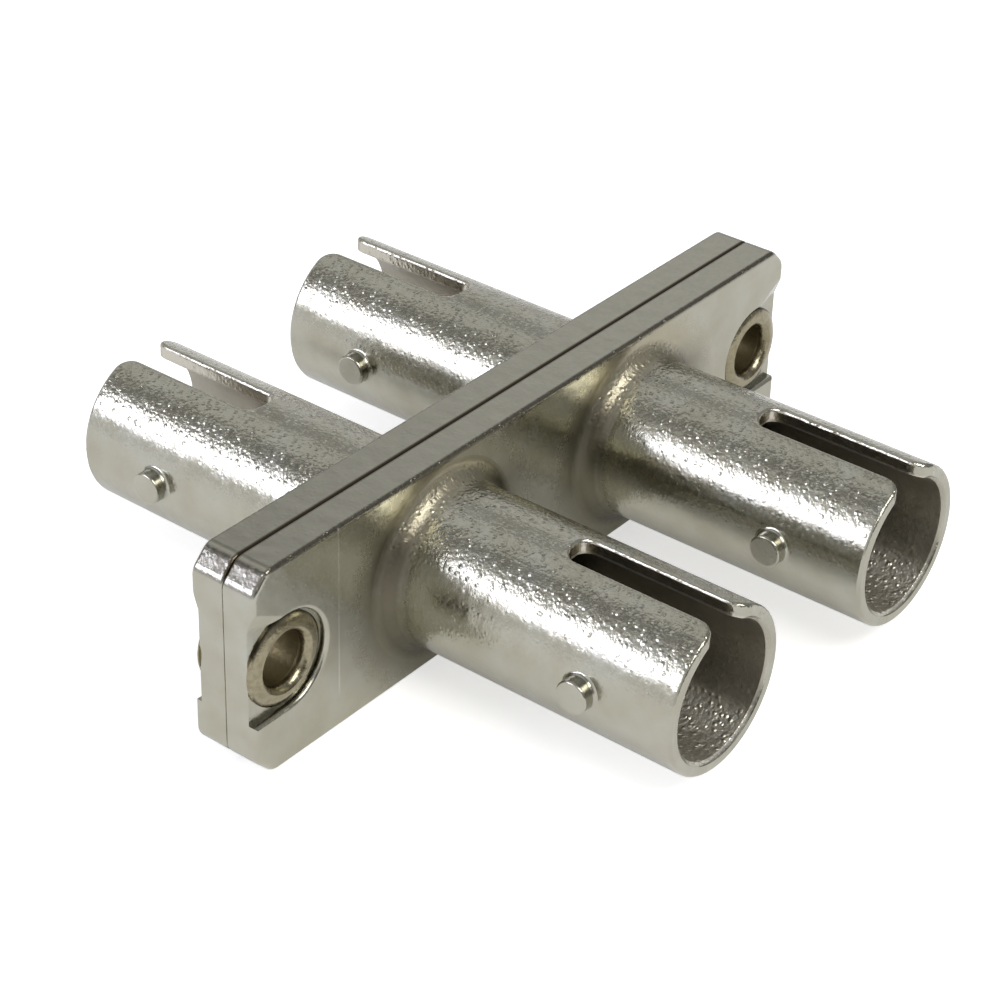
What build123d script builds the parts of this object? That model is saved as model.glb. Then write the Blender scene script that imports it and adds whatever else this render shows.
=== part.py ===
# Duplex fibre optic coupler: two riveted die-cast halves, four bayonet barrels and two split alignment sleeves.
from build123d import *
import os

os.makedirs("parts", exist_ok=True)

# All sizes are in millimetres.
# Frame: X along the flange, Y along the barrels with the front half at -Y, Z up, origin at the middle of the parting plane.

# Flange plate, one half of the whole thickness.
flange_length = 34.6
flange_height = 9.25
half_thickness = 1.57
top_corner_chamfer = 0.82
bottom_corner_chamfer = 0.92
corner_blend_round = 0.7
seam_edge_round = 0.12
face_edge_round = 0.2

# Barrels, one each side of the middle on both halves.
channel_pitch = 12.7
barrel_od = 6.95
barrel_id = 5.75
mouth_from_parting = 15.0
root_fillet = 0.9
mouth_edge_round = 0.15
mouth_inner_chamfer = 0.15

# Keyway on top of each barrel.
keyway_width = 1.5
keyway_length = 7.1
keyway_end_round = 0.6
keyway_mouth_round = 0.75

# Bayonet lugs on both flanks of each barrel.
lug_diameter = 1.4
lugs_across = 8.1
lug_from_mouth = 4.1
lug_edge_round = 0.1
lug_root_round = 0.15

# Inner tube of each half that holds one end of the alignment sleeve.
inner_tube_od = 4.5
inner_tube_lip = 0.85
inner_tube_chamfer = 0.3
cavity_floor_from_parting = 2.6
cavity_floor_round = 0.4
lip_hole_diameter = 2.85
lip_lead_in = 0.2

# Split alignment sleeve.
sleeve_od = 3.2
sleeve_id = 2.5
sleeve_length = 11.4
sleeve_slit = 0.3
sleeve_end_chamfer = 0.1
sleeve_radial_clearance = 0.05
sleeve_end_clearance = 0.05

# Tubular rivets and the recesses that hold their rims.
rivet_from_flange_end = 1.9
rivet_tube_od = 2.8
rivet_bore = 2.3
rivet_rim_diameter = 3.95
rivet_rim_edge = 0.07
rivet_crown_radius = 1.4
rivet_rim_bulge = 0.05
rivet_crown_below_face = 0.08
rivet_flare_depth = 0.5
rivet_hole_clearance = 0.05
recess_width = 4.2
recess_depth = 0.36
recess_ramp_rise = 1.0

barrel_radius = barrel_od / 2
bore_radius = barrel_id / 2
rivet_spacing = flange_length - 2 * rivet_from_flange_end
barrel_wall = barrel_radius - bore_radius
pocket_from_parting = sleeve_length / 2 + sleeve_end_clearance
inner_tube_from_parting = pocket_from_parting + inner_tube_lip
grip = half_thickness - recess_depth


def flange_outline():
    # Cut corners with blended edges, the lower ones cut a little deeper.
    outline = Rectangle(flange_length, flange_height)
    outline = chamfer(outline.vertices().group_by(Axis.Y)[-1], top_corner_chamfer)
    outline = chamfer(outline.vertices().group_by(Axis.Y)[0], bottom_corner_chamfer)
    return fillet(outline.vertices(), corner_blend_round)


def recess_ramp(side):
    # Above the open end of a recess the face falls away in a flat ramp that widens toward the flange end.
    start = (side * rivet_spacing / 2, -half_thickness, recess_width / 2)
    along = (side * (flange_length - rivet_spacing) / 2, 0, recess_ramp_rise)
    down = (along[0], recess_depth, 0)
    normal = Vector(*down).cross(Vector(*along)) * side
    slope = Plane(origin=start, x_dir=along, z_dir=normal)
    cutter = extrude(slope * Rectangle(2 * flange_length, 2 * flange_length), flange_height)
    corner = Pos(start[0] + side * flange_length / 4, start[1], start[2] + flange_height / 4)
    return cutter & corner * Box(flange_length / 2, 2 * recess_depth, flange_height / 2)


def flange_half():
    plate = extrude(Plane.XZ * flange_outline(), half_thickness)
    face_plane = Plane(origin=(0, -half_thickness, 0), x_dir=(1, 0, 0), z_dir=(0, -1, 0))
    for side in (-1, 1):
        round_end = Pos(side * rivet_spacing / 2, 0) * Circle(recess_width / 2)
        open_end = Pos(side * (rivet_spacing / 2 + flange_length / 4), 0) * Rectangle(flange_length / 2, recess_width)
        plate -= extrude(face_plane * (round_end + open_end), -recess_depth)
    outer_edges = plate.edges().filter_by_position(Axis.Y, -half_thickness, -half_thickness)
    plate = fillet(outer_edges, face_edge_round)
    seam_edges = plate.edges().filter_by_position(Axis.Y, 0, 0)
    plate = fillet(seam_edges, seam_edge_round)
    for side in (-1, 1):
        plate -= recess_ramp(side)
    hole_radius = rivet_tube_od / 2 + rivet_hole_clearance
    for side in (-1, 1):
        hole = Plane.XZ * Pos(side * rivet_spacing / 2, 0) * Circle(hole_radius)
        plate -= extrude(hole, half_thickness)
    return plate


def barrel_skin():
    # Outside of one barrel as a revolved profile: foot fillet and straight wall, with the surface seam turned underneath.
    foot_radius = barrel_radius + root_fillet
    foot_end = -(half_thickness + root_fillet)
    mouth = -mouth_from_parting
    with BuildSketch() as profile:
        with BuildLine():
            Polyline((0, -half_thickness / 2), (foot_radius, -half_thickness / 2), (foot_radius, -half_thickness))
            RadiusArc((foot_radius, -half_thickness), (barrel_radius, foot_end), -root_fillet)
            Polyline((barrel_radius, foot_end), (barrel_radius, mouth), (0, mouth), (0, -half_thickness / 2))
        make_face()
    return Rot(0, 90, 0) * revolve(profile.sketch, Axis.Y)


def barrel_cavity():
    # Everything hollow inside one barrel: sleeve pocket, lip hole, ring space round the inner tube and the open mouth.
    pocket_radius = sleeve_od / 2 + sleeve_radial_clearance
    pocket_end = -pocket_from_parting
    lip_radius = lip_hole_diameter / 2
    tube_radius = inner_tube_od / 2
    tip = -inner_tube_from_parting
    floor = -cavity_floor_from_parting
    mouth = -mouth_from_parting
    mouth_chamfer = min(mouth_inner_chamfer, 0.4 * barrel_wall)
    # The round at the foot of the tube leaves some flat floor in the ring space.
    foot_round = min(cavity_floor_round, 0.7 * (bore_radius - tube_radius))
    with BuildSketch() as profile:
        with BuildLine():
            Polyline(
                (0, 1),
                (pocket_radius, 1),
                (pocket_radius, pocket_end),
                (lip_radius, pocket_end),
                (lip_radius, tip + lip_lead_in),
                (lip_radius + lip_lead_in, tip),
                (tube_radius - inner_tube_chamfer, tip),
                (tube_radius, tip + inner_tube_chamfer),
                (tube_radius, floor - foot_round),
            )
            RadiusArc((tube_radius, floor - foot_round), (tube_radius + foot_round, floor), foot_round)
            Line((tube_radius + foot_round, floor), (bore_radius, floor))
            Polyline(
                (bore_radius, floor),
                (bore_radius, mouth + mouth_chamfer),
                (bore_radius + mouth_chamfer, mouth),
                (bore_radius + mouth_chamfer, mouth - 1),
                (0, mouth - 1),
                (0, 1),
            )
        make_face()
    return revolve(profile.sketch, Axis.Y)


def keyway_cut():
    # Plan view of the keyway: round closed end inside, rounded corners where it leaves the mouth.
    mouth = -mouth_from_parting
    closed = mouth + keyway_length
    slot = Pos(0, (closed + mouth) / 2) * Rectangle(keyway_width, keyway_length)
    slot = fillet(slot.vertices().group_by(Axis.Y)[-1], keyway_end_round)
    flare_half = keyway_width / 2 + keyway_mouth_round
    flare_start = mouth + keyway_mouth_round
    flare = Pos(0, flare_start - keyway_mouth_round) * Rectangle(2 * flare_half, 2 * keyway_mouth_round)
    for side in (-1, 1):
        flare -= Pos(side * flare_half, flare_start) * Circle(keyway_mouth_round)
    plan = Pos(0, 0, bore_radius / 2) * (slot + flare)
    return extrude(plan, barrel_radius)


def bayonet_lug(side):
    # Short round pin with a flat top, rooted inside the barrel wall.
    wall_middle = (barrel_radius + bore_radius) / 2
    seat = Plane(
        origin=(side * wall_middle, lug_from_mouth - mouth_from_parting, 0),
        x_dir=(0, 1, 0),
        z_dir=(side, 0, 0),
    )
    lug = extrude(seat * Circle(lug_diameter / 2), lugs_across / 2 - wall_middle)
    top_edge = lug.edges().filter_by(GeomType.CIRCLE).sort_by(Axis.X)[-1 if side > 0 else 0]
    return fillet(top_edge, lug_edge_round)


def lies_on_skin(edge):
    # True where a whole edge lies on the straight outside of a barrel at the origin.
    points = [edge @ share for share in (0, 0.25, 0.5, 0.75, 1)]
    past_foot = all(point.Y < -(half_thickness + root_fillet) - 0.001 for point in points)
    return past_foot and all(abs((point.X**2 + point.Z**2) ** 0.5 - barrel_radius) < 0.001 for point in points)


def barrel():
    # One round follows the mouth and the keyway, a second one the foot of each lug, both within the wall.
    body = barrel_skin() - keyway_cut()
    # The straight surface seam underneath isn't a rim.
    rim = body.edges().filter_by(lies_on_skin)
    rim = rim.filter_by(lambda edge: (edge @ 0.5).Z > 0 or edge.geom_type != GeomType.LINE)
    body = fillet(rim, min(mouth_edge_round, 0.4 * barrel_wall))
    for side in (-1, 1):
        body += bayonet_lug(side)
    lug_place = lug_from_mouth - mouth_from_parting
    feet = body.edges().filter_by(lies_on_skin)
    feet = feet.filter_by(lambda edge: abs((edge @ 0.5).Y - lug_place) < lug_diameter and abs((edge @ 0.5).Z) < lug_diameter)
    return fillet(feet, min(lug_root_round, 0.4 * barrel_wall))


def casting_half():
    casting = flange_half()
    channels = [Pos(side * channel_pitch / 2, 0, 0) for side in (-1, 1)]
    shell = barrel()
    hollow = barrel_cavity()
    for channel in channels:
        casting += channel * shell
    for channel in channels:
        casting -= channel * hollow
    return casting


def split_sleeve():
    tube = Cylinder(sleeve_od / 2, sleeve_length) - Cylinder(sleeve_id / 2, sleeve_length)
    tube = chamfer(tube.edges().filter_by(GeomType.CIRCLE), min(sleeve_end_chamfer, 0.4 * (sleeve_od - sleeve_id) / 2))
    slit = Pos(0, sleeve_od / 2, 0) * Box(sleeve_slit, sleeve_od, 2 * sleeve_length)
    return Rot(90, 0, 0) * (tube - slit)


def tubular_rivet():
    # Half profile of the tube with its rolled rim, mirrored about the parting plane and revolved.
    tube_radius = rivet_tube_od / 2
    throat = rivet_bore / 2
    rim = rivet_rim_diameter / 2
    crown = half_thickness - rivet_crown_below_face
    flare_start = crown - rivet_flare_depth
    flare_middle = (throat + 0.25 * (rivet_crown_radius - throat), crown - 0.3 * rivet_flare_depth)
    rim_middle = ((rivet_crown_radius + rim) / 2 + rivet_rim_bulge, crown - 0.25 * (crown - grip - rivet_rim_edge))
    with BuildSketch() as profile:
        with BuildLine() as upper:
            Line((throat, 0), (throat, flare_start))
            ThreePointArc((throat, flare_start), flare_middle, (rivet_crown_radius, crown))
            ThreePointArc((rivet_crown_radius, crown), rim_middle, (rim, grip + rivet_rim_edge))
            Polyline((rim, grip + rivet_rim_edge), (rim, grip), (tube_radius, grip), (tube_radius, 0))
            mirror(about=Plane.XZ)
        make_face()
    return revolve(profile.sketch, Axis.Y)


front_half = casting_half()
export_step(front_half, "parts/front_half.step")
export_step(Rot(0, 0, 180) * front_half, "parts/rear_half.step")

for name, side in (("left", -1), ("right", 1)):
    export_step(Pos(side * channel_pitch / 2, 0, 0) * split_sleeve(), f"parts/sleeve_{name}.step")
    export_step(Pos(side * rivet_spacing / 2, 0, 0) * tubular_rivet(), f"parts/rivet_{name}.step")
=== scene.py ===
"""Looks of the duplex fibre coupler: satin nickel castings, rolled rivets, ceramic sleeves, white table."""

import math

import bpy
from mathutils import Matrix, Vector

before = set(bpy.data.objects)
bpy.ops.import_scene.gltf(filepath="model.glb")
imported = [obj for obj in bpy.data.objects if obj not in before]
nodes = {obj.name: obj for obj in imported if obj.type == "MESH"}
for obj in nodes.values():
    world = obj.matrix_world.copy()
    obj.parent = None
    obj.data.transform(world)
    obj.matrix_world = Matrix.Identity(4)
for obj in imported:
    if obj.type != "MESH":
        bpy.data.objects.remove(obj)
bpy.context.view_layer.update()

# Sizes in millimetres that the finishes follow, as in the CAD model
CHANNEL_X = 6.35
BORE_RADIUS = 2.875
BARREL_RADIUS = 3.475
KEYWAY_WIDTH = 1.5
KEYWAY_END_Y = 7.9
FLANGE_FACE_Y = 1.57
FLANGE_TOP_Z = 4.625
FLANGE_END_X = 17.3
CORNER_CUT_SUM = 21.105
MOULD_LINE_X = -12.6
RIVET_X = 15.4
RIVET_RIM_RADIUS = 1.975

# Patterns per millimetre, with the pebbles and grains a little coarser than real ones so that they show
PEBBLES_PER_MM = 5.5
GRAINS_PER_MM = 4.6
WAVES_PER_MM = 1.0
STAINS_PER_MM = 0.6
SCUFFS_PER_MM = 5.0
GRIT_PER_MM = 20.0

# Heights of the patterns in metres, and how far the single grains stand above the pebbles
PEBBLE_HEIGHT = 0.00003
WAVE_HEIGHT = 0.00003
SCUFF_HEIGHT = 0.000015
GRIT_HEIGHT = 0.000001
GRAIN_TO_PEBBLE = 1.1

# Shares of a finish: grain on the keyway walls, painted light in the upper bore, tarnish and painted shade on
# the barrel roots
KEYWAY_GRAIN = 0.35
UPPER_BORE_PAINTED_LIGHT = 0.5
ROOT_TARNISH_AND_SHADE = 0.72

# Light that the table gives off, as the camera and as the metal sees it
TABLE_SEEN = 0.6
TABLE_MIRRORED = 0.22

# Table and lamps in metres: the plate stands on its lower edge
TABLE_Z = -FLANGE_TOP_Z / 1000
TABLE_SIZE = 3.0
LAMP_DISTANCE = 0.4


def srgb(code):
    """Linear RGBA of an sRGB hex colour."""
    values = [int(code[i:i + 2], 16) / 255 for i in (0, 2, 4)]
    return [v / 12.92 if v <= 0.04045 else ((v + 0.055) / 1.055) ** 2.4 for v in values] + [1.0]


def add(tree, kind, inputs=None, stops=None, **settings):
    """Adds a shader node, sets its options and ramp stops, and fills or links its inputs."""
    made = tree.nodes.new("ShaderNode" + kind)
    for key, value in settings.items():
        setattr(made, key, value)
    for key, value in (inputs or {}).items():
        if isinstance(value, bpy.types.NodeSocket):
            tree.links.new(value, made.inputs[key])
        else:
            made.inputs[key].default_value = value
    if stops:
        elements = made.color_ramp.elements
        while len(elements) < len(stops):
            elements.new(0.5)
        for element, (place, colour) in zip(elements, stops):
            element.position = place
            element.color = srgb(colour) if isinstance(colour, str) else (colour, colour, colour, 1.0)
    return made


def new_material(name):
    """Material with one principled shader, and its object coordinates in millimetres."""
    made = bpy.data.materials.new(name)
    made.use_nodes = True
    tree = made.node_tree
    tree.nodes.clear()
    shader = add(tree, "BsdfPrincipled")
    add(tree, "OutputMaterial", {0: shader.outputs[0]})
    metres = add(tree, "TexCoord").outputs["Object"]
    to_mm = (1000.0, 1000.0, 1000.0)
    place = add(tree, "VectorMath", {0: metres, 1: to_mm}, operation="MULTIPLY").outputs[0]
    return made, tree, shader, place


def off_axis(tree, axes, axis_x):
    """Distances from the middle plane, sideways from holes at X = axis_x and -axis_x, and from their axes."""
    abs_x = add(tree, "Math", {0: axes["X"]}, operation="ABSOLUTE").outputs[0]
    beside = add(tree, "Math", {0: abs_x, 1: axis_x}, operation="SUBTRACT").outputs[0]
    beside_squared = add(tree, "Math", {0: beside, 1: beside}, operation="MULTIPLY").outputs[0]
    squares = {0: axes["Z"], 1: axes["Z"], 2: beside_squared}
    radius_squared = add(tree, "Math", squares, operation="MULTIPLY_ADD").outputs[0]
    radius = add(tree, "Math", {0: radius_squared}, operation="SQRT").outputs[0]
    return abs_x, beside, radius


# Zinc die casting under satin nickel plate: warm grey metal with a tight sheen, grained by the mould
casting, tree, shader, place = new_material("satin_nickel_on_zinc_casting")
axes = add(tree, "SeparateXYZ", {0: place}).outputs
abs_y = add(tree, "Math", {0: axes["Y"]}, operation="ABSOLUTE").outputs[0]
abs_x, beside, radius = off_axis(tree, axes, CHANNEL_X)
off_key = add(tree, "Math", {0: beside}, operation="ABSOLUTE").outputs[0]
corner_sum = add(tree, "Math", {0: abs_x, 1: axes["Z"]}, operation="ADD").outputs[0]
off_line = add(tree, "Math", {0: axes["X"], 1: MOULD_LINE_X}, operation="SUBTRACT").outputs[0]
off_line = add(tree, "Math", {0: off_line}, operation="ABSOLUTE").outputs[0]

# Where each finish or painted shade lies: its measure, start and full place in millimetres, and its strength
# before and after
fades = {
    "on_barrel": (abs_y, FLANGE_FACE_Y + 0.02, FLANGE_FACE_Y + 0.1, 0.0, 1.0),
    "near_bore": (radius, BORE_RADIUS + 0.12, BORE_RADIUS + 0.02, 0.0, 1.0),
    "on_top": (axes["Z"], 1.7, 2.7, 0.12, 1.0),
    "beside_key": (off_key, KEYWAY_WIDTH / 2 + 0.06, KEYWAY_WIDTH / 2 + 0.02, 0.0, 1.0),
    "past_key_end": (abs_y, KEYWAY_END_Y - 0.1, KEYWAY_END_Y, 0.0, 1.0),
    "corner_grain": (corner_sum, CORNER_CUT_SUM - 0.12, CORNER_CUT_SUM - 0.05, 0.0, 0.2),
    "corner_darker": (corner_sum, CORNER_CUT_SUM - 0.12, CORNER_CUT_SUM - 0.05, 0.0, 0.7),
    "near_foot": (abs_y, FLANGE_FACE_Y + 1.2, FLANGE_FACE_Y + 0.5, 0.0, 1.0),
    "round_foot": (radius, BORE_RADIUS + 3.0, BORE_RADIUS + 1.0, 0.0, 1.0),
    "off_edge": (abs_y, FLANGE_FACE_Y - 0.1, FLANGE_FACE_Y - 0.02, 0.0, 1.0),
    "edge_side": (abs_y, FLANGE_FACE_Y - 0.2, FLANGE_FACE_Y - 0.12, 0.0, 1.0),
    "edge_top": (axes["Z"], FLANGE_TOP_Z - 0.225, FLANGE_TOP_Z - 0.125, 0.0, 1.0),
    "edge_reflection_side": (axes["Y"], 0.0, -1.0, 0.45, 0.6),
    "bottom": (axes["Z"], -1.9, -2.4, 0.0, 1.0),
    "bottom_grain": (axes["Z"], -1.9, -2.4, 0.1, 2.0),
    "cove_side": (radius, BARREL_RADIUS + 0.85, BARREL_RADIUS + 0.45, 0.0, 1.0),
    "cove_foot": (abs_y, FLANGE_FACE_Y + 0.85, FLANGE_FACE_Y + 0.5, 0.0, 1.0),
    "cove_below": (axes["Z"], 3.2, 2.2, 0.0, 0.55),
    "seam_dirt": (abs_y, 0.17, 0.06, 0.0, 1.0),
    "off_end_face": (abs_x, FLANGE_END_X - 0.05, FLANGE_END_X - 0.3, 0.0, 1.0),
    "hairline": (off_line, 0.06, 0.0, 0.0, 1.0),
    "on_front": (axes["Y"], -1.5, -1.55, 0.0, 1.0),
    "above_foot": (axes["Z"], -3.2, -2.6, 0.0, 1.0),
}
masks = {}
for name, (measure, start, full, before, after) in fades.items():
    levels = {"Value": measure, 1: start, 2: full, 3: before, 4: after}
    masks[name] = add(tree, "MapRange", levels).outputs[0]

# Finishes, painted shade and painted light that lie only where several of these meet
overlaps = {
    "in_bore": ("near_bore", "on_barrel"),
    "bore_grain": ("bottom_grain", "near_bore", "on_barrel"),
    "in_key": ("beside_key", "on_top", "past_key_end"),
    "barrel_top": ("on_top", "on_barrel"),
    "at_root": ("near_foot", "round_foot", "off_edge"),
    "cove_shade": ("cove_side", "cove_foot", "cove_below"),
    "on_edge": ("edge_side", "edge_top"),
    "edge_dark_reflection": ("edge_side", "edge_top", "edge_reflection_side"),
    "seam": ("seam_dirt", "off_end_face"),
    "mould_line": ("hairline", "on_front", "above_foot"),
}
for name, (first, *others) in overlaps.items():
    meeting = masks[first]
    for other in others:
        meeting = add(tree, "Math", {0: meeting, 1: masks[other]}, operation="MULTIPLY").outputs[0]
    masks[name] = meeting
inside = add(tree, "Math", {0: masks["in_bore"], 1: masks["in_key"]}, operation="MAXIMUM").outputs[0]

# Grain: strong low in the bores, full on the barrel tops and upper edges, weak on keyway walls and corners
wall_grain = add(tree, "MapRange", {"Value": masks["in_key"], 3: 1.0, 4: KEYWAY_GRAIN}).outputs[0]
coarse = add(tree, "Math", {0: masks["barrel_top"], 1: wall_grain}, operation="MULTIPLY").outputs[0]
for name in ("corner_grain", "on_edge", "bore_grain"):
    coarse = add(tree, "Math", {0: coarse, 1: masks[name]}, operation="MAXIMUM").outputs[0]
grain_gain = add(tree, "MapRange", {"Value": coarse, 3: 0.1, 4: 1.0}, clamp=False).outputs[0]

# Casting skin: pebbles with steep-sided grains among them, which catch the lamps one by one
pebbles = {"Vector": place, "Scale": PEBBLES_PER_MM, "Detail": 2.0, "Roughness": 0.5}
pebble = add(tree, "TexNoise", pebbles).outputs["Fac"]
cells = add(tree, "TexVoronoi", {"Vector": place, "Scale": GRAINS_PER_MM}, feature="F1").outputs
dome = add(tree, "MapRange", {"Value": cells["Distance"], 1: 0.0, 2: 0.5, 3: 1.0, 4: 0.0}).outputs[0]
chosen = add(tree, "SeparateXYZ", {0: cells["Color"]}).outputs["X"]
chosen = add(tree, "MapRange", {"Value": chosen, 1: 0.1, 2: 0.8}).outputs[0]
grains = add(tree, "Math", {0: dome, 1: chosen}, operation="MULTIPLY").outputs[0]
skin = add(tree, "Math", {0: grains, 1: GRAIN_TO_PEBBLE, 2: pebble}, operation="MULTIPLY_ADD").outputs[0]
skin = add(tree, "Math", {0: skin, 1: grain_gain}, operation="MULTIPLY").outputs[0]
fine_bump = add(tree, "Bump", {"Height": skin, "Strength": 1.0, "Distance": PEBBLE_HEIGHT}).outputs[0]

# Long waves of a polished skin under the grain
waves = add(tree, "TexNoise", {"Vector": place, "Scale": WAVES_PER_MM, "Detail": 1.0}).outputs["Fac"]
wavy = {"Height": waves, "Strength": 1.0, "Distance": WAVE_HEIGHT, "Normal": fine_bump}
tree.links.new(add(tree, "Bump", wavy).outputs[0], shader.inputs["Normal"])

# Warm grey nickel with faint stains, and at the barrel roots straw tarnish above and a brown band round the
# middle that is tarnish together with painted shade
stain = add(tree, "TexNoise", {"Vector": place, "Scale": STAINS_PER_MM, "Detail": 4.0}).outputs["Fac"]
nickel_stops = [(0.3, "A6A394"), (0.5, "ACAA9C"), (0.7, "B1B0A5")]
nickel = add(tree, "ValToRGB", {0: stain}, nickel_stops).outputs[0]
downward = add(tree, "MapRange", {"Value": axes["Z"], 1: 4.0, 2: -4.0}).outputs[0]
tarnish_and_shade_stops = [(0.0, "ABA38A"), (0.12, "A39C86"), (0.27, "5A5040"), (0.37, "5A5040"), (0.52, "78725C")]
root_tarnish_and_shade = add(tree, "ValToRGB", {0: downward}, tarnish_and_shade_stops).outputs[0]
tarnish_and_shade_share = add(tree, "Math", {0: masks["at_root"], 1: ROOT_TARNISH_AND_SHADE}, operation="MULTIPLY").outputs[0]

# Paler colour inside the bores and on the keyway walls as painted light, palest at the bottom of the bore
upper = add(tree, "Math", {0: masks["on_top"], 1: UPPER_BORE_PAINTED_LIGHT}, operation="MULTIPLY").outputs[0]
painted_light_share = add(tree, "Math", {0: upper, 1: masks["bottom"]}, operation="MAXIMUM").outputs[0]
bore_painted_light_colours = {0: painted_light_share, 6: srgb("A6A194"), 7: srgb("DCD8CC")}
bore_painted_light = add(tree, "Mix", bore_painted_light_colours, data_type="RGBA").outputs[2]

# Colours laid over the nickel in turn, from the darker top to the hairline that a mould insert left in front
layers = [
    (masks["edge_top"], srgb("9F9D90")),
    # Barrel roots: tarnish together with painted shade
    (tarnish_and_shade_share, root_tarnish_and_shade),
    # A darker colour on the cut corners
    (masks["corner_darker"], srgb("8B877F")),
    # Painted shade in the crease round the barrel roots
    (masks["cove_shade"], srgb("423E30")),
    # Painted light inside the bores and on the keyway walls
    (inside, bore_painted_light),
    # Painted shade along the seam between the halves
    (masks["seam"], srgb("574F41")),
    # Painted dark reflection along the top edges, stronger at the front
    (masks["edge_dark_reflection"], srgb("4E483D")),
    (masks["mould_line"], srgb("C8C6BB")),
]
colour = nickel
for share, layer in layers:
    colour = add(tree, "Mix", {0: share, 6: colour, 7: layer}, data_type="RGBA").outputs[2]
tree.links.new(colour, shader.inputs["Base Color"])
shader.inputs["Metallic"].default_value = 1.0

# Roughness: satin on the plate, duller at the tarnished roots and in the bores
rough = add(tree, "MapRange", {"Value": pebble, 1: 0.3, 2: 0.7, 3: 0.17, 4: 0.27}).outputs[0]
for name, duller in (("at_root", 0.18), ("in_bore", 0.2)):
    rough = add(tree, "Math", {0: masks[name], 1: duller, 2: rough}, operation="MULTIPLY_ADD").outputs[0]
tree.links.new(rough, shader.inputs["Roughness"])

# Rolled brass tube under nickel: warmer than the casting, dull down the hole
rivet, tree, shader, place = new_material("nickel_on_rolled_brass_tube")
axes = add(tree, "SeparateXYZ", {0: place}).outputs
abs_y = add(tree, "Math", {0: axes["Y"]}, operation="ABSOLUTE").outputs[0]
abs_x, beside, radius = off_axis(tree, axes, RIVET_X)
down_hole = add(tree, "MapRange", {"Value": abs_y, 1: 1.3, 2: 1.0}).outputs[0]

# Painted shade in the gap where the rim meets the recess wall, and none where the rim stands past the flange
# end
rim_gap_band = {"Value": radius, 1: RIVET_RIM_RADIUS - 0.12, 2: RIVET_RIM_RADIUS - 0.04, 4: 0.85}
rim_gap_shade = add(tree, "MapRange", rim_gap_band).outputs[0]
inward = add(tree, "MapRange", {"Value": abs_x, 1: FLANGE_END_X - 0.1, 2: FLANGE_END_X - 0.2}).outputs[0]
rim_gap_shade = add(tree, "Math", {0: rim_gap_shade, 1: inward}, operation="MULTIPLY").outputs[0]

# Colour and roughness of the rivets, with faint scuffs
scuff = add(tree, "TexNoise", {"Vector": place, "Scale": SCUFFS_PER_MM, "Detail": 3.0}).outputs["Fac"]
colour = add(tree, "ValToRGB", {0: scuff}, [(0.3, "88806A"), (0.6, "9A937B")]).outputs[0]
# Darker down the hole, and painted shade in the rim gap
for share, layer in ((down_hole, srgb("7A7053")), (rim_gap_shade, srgb("2E2921"))):
    colour = add(tree, "Mix", {0: share, 6: colour, 7: layer}, data_type="RGBA").outputs[2]
tree.links.new(colour, shader.inputs["Base Color"])
shader.inputs["Metallic"].default_value = 1.0
rough = add(tree, "MapRange", {"Value": scuff, 1: 0.3, 2: 0.7, 3: 0.18, 4: 0.28}).outputs[0]
rough = add(tree, "Math", {0: down_hole, 1: 0.25, 2: rough}, operation="MULTIPLY_ADD").outputs[0]
tree.links.new(rough, shader.inputs["Roughness"])
scuffs = add(tree, "Bump", {"Height": scuff, "Strength": 1.0, "Distance": SCUFF_HEIGHT}).outputs[0]
tree.links.new(scuffs, shader.inputs["Normal"])

# Ground zirconia ceramic: hard white with a faint fine grain
sleeve, tree, shader, place = new_material("ground_zirconia")
grit = add(tree, "TexNoise", {"Vector": place, "Scale": GRIT_PER_MM, "Detail": 2.0}).outputs["Fac"]
white = add(tree, "ValToRGB", {0: grit}, [(0.3, "E6E4DA"), (0.7, "F0EEE6")]).outputs[0]
tree.links.new(white, shader.inputs["Base Color"])
rough = add(tree, "MapRange", {"Value": grit, 3: 0.18, 4: 0.28}).outputs[0]
tree.links.new(rough, shader.inputs["Roughness"])
shader.inputs["IOR"].default_value = 2.1
ground = add(tree, "Bump", {"Height": grit, "Strength": 1.0, "Distance": GRIT_HEIGHT}).outputs[0]
tree.links.new(ground, shader.inputs["Normal"])

finishes = {
    "front_half": casting,
    "rear_half": casting,
    "rivet_left": rivet,
    "rivet_right": rivet,
    "sleeve_left": sleeve,
    "sleeve_right": sleeve,
}
for name, finish in finishes.items():
    for slot in nodes[name].material_slots:
        slot.material = finish

# White paper table under the lower flange edge
bpy.ops.object.select_all(action="DESELECT")
bpy.ops.mesh.primitive_plane_add(size=TABLE_SIZE, location=(0.0, 0.0, TABLE_Z))
table = bpy.context.object
table.name = "table"
paper, tree, shader, place = new_material("white_paper")
shader.inputs["Base Color"].default_value = srgb("F0F0F0")
shader.inputs["Roughness"].default_value = 0.9
shader.inputs["Specular IOR Level"].default_value = 0.0
shader.inputs["Emission Color"].default_value = (1.0, 1.0, 1.0, 1.0)
rays = add(tree, "LightPath").outputs
mirrors = {0: rays["Is Glossy Ray"], 1: rays["Is Transmission Ray"]}
mirrored = add(tree, "Math", mirrors, operation="ADD").outputs[0]
mirrored = add(tree, "Math", {0: mirrored, 1: TABLE_MIRRORED}, operation="MULTIPLY").outputs[0]
camera_and_mirrors = {0: rays["Is Camera Ray"], 1: TABLE_SEEN, 2: mirrored}
glow = add(tree, "Math", camera_and_mirrors, operation="MULTIPLY_ADD").outputs[0]
tree.links.new(glow, shader.inputs["Emission Strength"])
table.data.materials.append(paper)

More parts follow.
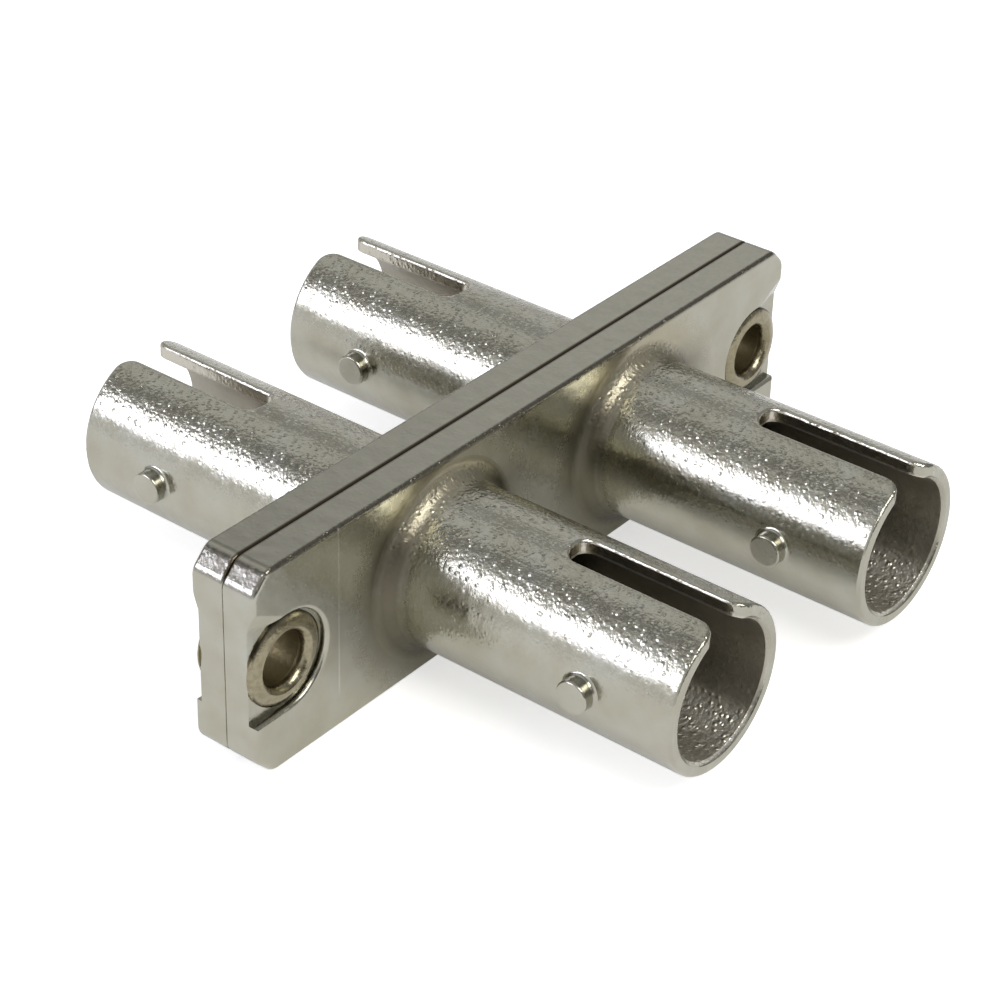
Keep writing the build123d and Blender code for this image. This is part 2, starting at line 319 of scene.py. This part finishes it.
# Room: strips from the wall at -X over the ceiling to the wall at +X, darker behind the camera but not at -X
room = bpy.data.worlds.new("studio")
bpy.context.scene.world = room
room.use_nodes = True
sky = room.node_tree
sky.nodes.clear()
towards = add(sky, "SeparateXYZ", {0: add(sky, "TexCoord").outputs["Generated"]}).outputs
across_room = add(sky, "MapRange", {"Value": towards["X"], 1: -1.0, 2: 1.0}).outputs[0]
strips = [(0.0, 0.86), (0.15, 0.85), (0.25, 0.6), (0.365, 0.12), (0.475, 0.75), (0.575, 0.86)]
strips += [(0.66, 0.55), (0.74, 0.33), (0.81, 0.66), (0.88, 0.86), (0.925, 0.55), (1.0, 0.4)]
high = add(sky, "ValToRGB", {0: across_room}, strips).outputs[0]
behind = add(sky, "MapRange", {"Value": towards["Y"], 1: 0.35, 2: -0.15, 3: 1.0, 4: 0.5}).outputs[0]
left_wall = add(sky, "MapRange", {"Value": towards["X"], 1: -0.6, 2: -0.8}).outputs[0]
shade = add(sky, "Math", {0: behind, 1: left_wall}, operation="MAXIMUM").outputs[0]
shaded = add(sky, "VectorMath", {0: high, "Scale": shade}, operation="SCALE").outputs[0]
light = add(sky, "Background", {"Color": shaded, "Strength": 1.0})
add(sky, "OutputWorld", {0: light.outputs[0]})


def soft_box(name, direction, width, height, power, tint):
    """Rectangular lamp that faces the part from one direction, in metres and watts."""
    lamp = bpy.data.lights.new(name, "AREA")
    lamp.shape = "RECTANGLE"
    lamp.size = width
    lamp.size_y = height
    lamp.energy = power
    lamp.color = srgb(tint)[:3]
    holder = bpy.data.objects.new(name, lamp)
    bpy.context.scene.collection.objects.link(holder)
    spot = Vector(direction).normalized() * LAMP_DISTANCE
    holder.matrix_world = Matrix.Translation(spot) @ spot.to_track_quat("Z", "Y").to_matrix().to_4x4()


soft_box("window", direction=(-0.72, 0.54, 0.41), width=0.24, height=0.12, power=0.56, tint="E6E8FF")
soft_box("ceiling_lamp", direction=(-0.14, -0.56, 0.78), width=0.28, height=0.17, power=0.95, tint="FFFDFA")

# Camera from the fit to the photograph's edges: place in metres, sensor and focal length in millimetres
CAMERA_AZIMUTH = math.radians(-51.2344)
CAMERA_ELEVATION = math.radians(31.7758)
CAMERA_ROLL = math.radians(1.0836)
CAMERA_PLACE = Vector((-0.0775004, -0.0589208, 0.0616615))
SENSOR_WIDTH = 36.0
FOCAL_LENGTH = 100.582
SHIFT = 0.05
level = Vector((math.cos(CAMERA_AZIMUTH), math.sin(CAMERA_AZIMUTH), 0.0))
ahead = Vector((-math.sin(CAMERA_AZIMUTH), math.cos(CAMERA_AZIMUTH), 0.0))
back = -math.cos(CAMERA_ELEVATION) * ahead + Vector((0.0, 0.0, math.sin(CAMERA_ELEVATION)))
above = back.cross(level)
right = math.cos(CAMERA_ROLL) * level + math.sin(CAMERA_ROLL) * above
up = math.cos(CAMERA_ROLL) * above - math.sin(CAMERA_ROLL) * level
lens = bpy.data.cameras.new("camera")
camera = bpy.data.objects.new("camera", lens)
bpy.context.scene.collection.objects.link(camera)
rows = [(right[i], up[i], back[i], CAMERA_PLACE[i]) for i in range(3)]
camera.matrix_world = Matrix(rows + [(0.0, 0.0, 0.0, 1.0)])
lens.sensor_fit = "HORIZONTAL"
lens.sensor_width = SENSOR_WIDTH
lens.lens = FOCAL_LENGTH
lens.shift_x = SHIFT
lens.shift_y = -SHIFT
lens.clip_start = 0.001
lens.clip_end = 20.0
bpy.context.scene.camera = camera
bpy.context.scene.view_settings.view_transform = "Standard"
